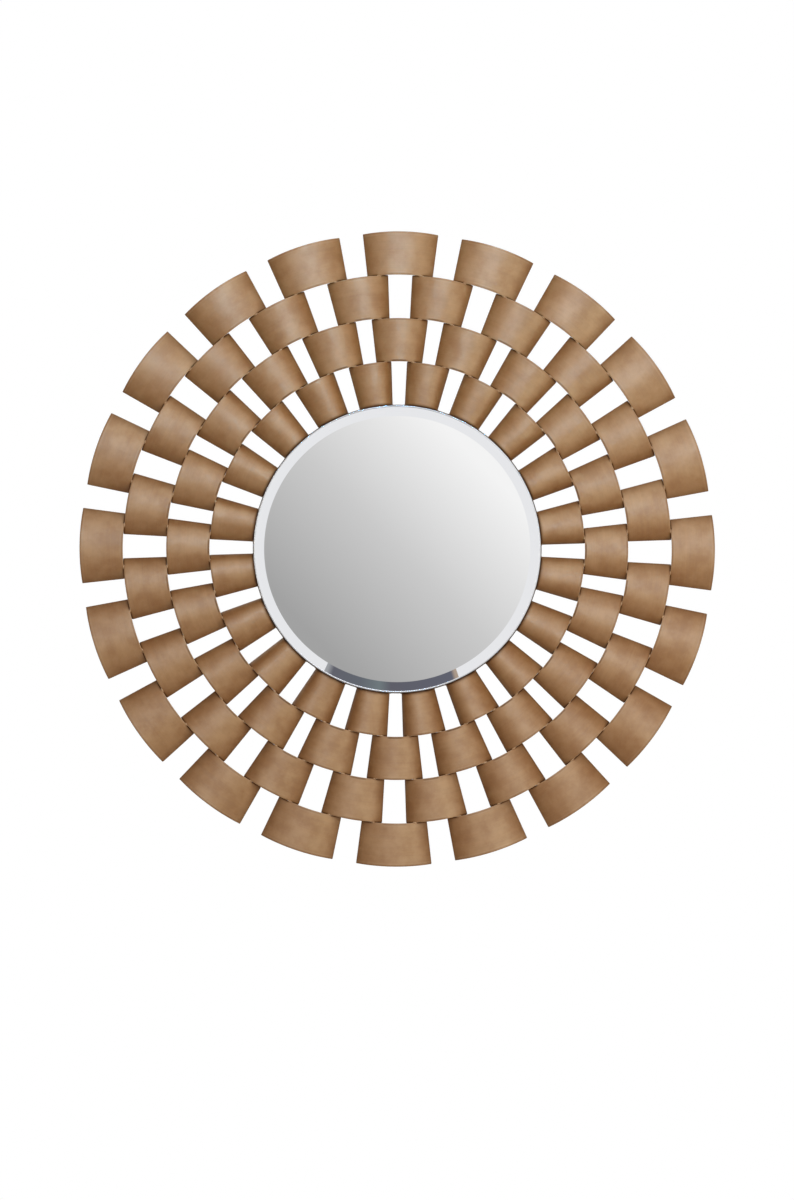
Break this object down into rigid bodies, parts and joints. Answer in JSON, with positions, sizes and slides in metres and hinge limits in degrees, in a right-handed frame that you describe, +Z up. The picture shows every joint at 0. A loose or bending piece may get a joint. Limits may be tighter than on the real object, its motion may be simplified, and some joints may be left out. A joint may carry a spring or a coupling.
{
  "type": "wall mirror",
  "caption": "Round bevelled mirror in a thin hoop, framed by a lattice of arched bronze sheet strips in concentric staggered rows; hangs flat on a wall.",
  "frame": {"origin": "centre of the flat back of the backing board, in the plane of the wall", "axes": "+Z up, +Y into the wall, -Y the way the mirror faces, +X to the right as seen from the front"},
  "size_m": [0.9, 0.02, 0.9],
  "materials": {
    "bronze": "satin antique bronze lacquer with fine brushing along the strip",
    "dark_bronze": "darker satin bronze",
    "silvered_glass": "polished silvered glass with a bevelled edge",
    "board": "fibreboard painted matt black-brown",
    "zinc_steel": "zinc-plated sheet steel"
  },
  "bodies": {
    "root": {"outer_strip_pair_01": "bronze", "outer_strip_pair_02": "bronze", "outer_strip_pair_03": "bronze", "outer_strip_pair_04": "bronze", "outer_strip_pair_05": "bronze", "outer_strip_pair_06": "bronze", "outer_strip_pair_07": "bronze", "outer_strip_pair_08": "bronze", "outer_strip_pair_09": "bronze", "outer_strip_pair_10": "bronze", "outer_strip_pair_11": "bronze", "outer_strip_pair_12": "bronze", "outer_strip_pair_13": "bronze", "outer_strip_pair_14": "bronze", "outer_strip_pair_15": "bronze", "outer_strip_pair_16": "bronze", "outer_strip_pair_17": "bronze", "outer_strip_pair_18": "bronze", "outer_strip_pair_19": "bronze", "outer_strip_pair_20": "bronze", "inner_strip_pair_01": "bronze", "inner_strip_pair_02": "bronze", "inner_strip_pair_03": "bronze", "inner_strip_pair_04": "bronze", "inner_strip_pair_05": "bronze", "inner_strip_pair_06": "bronze", "inner_strip_pair_07": "bronze", "inner_strip_pair_08": "bronze", "inner_strip_pair_09": "bronze", "inner_strip_pair_10": "bronze", "inner_strip_pair_11": "bronze", "inner_strip_pair_12": "bronze", "inner_strip_pair_13": "bronze", "inner_strip_pair_14": "bronze", "inner_strip_pair_15": "bronze", "inner_strip_pair_16": "bronze", "inner_strip_pair_17": "bronze", "inner_strip_pair_18": "bronze", "inner_strip_pair_19": "bronze", "inner_strip_pair_20": "bronze", "mirror_hoop": "dark_bronze", "mirror_glass": "silvered_glass", "backing_board": "board", "hanger_plate": "zinc_steel"}
  },
  "joints": []
}
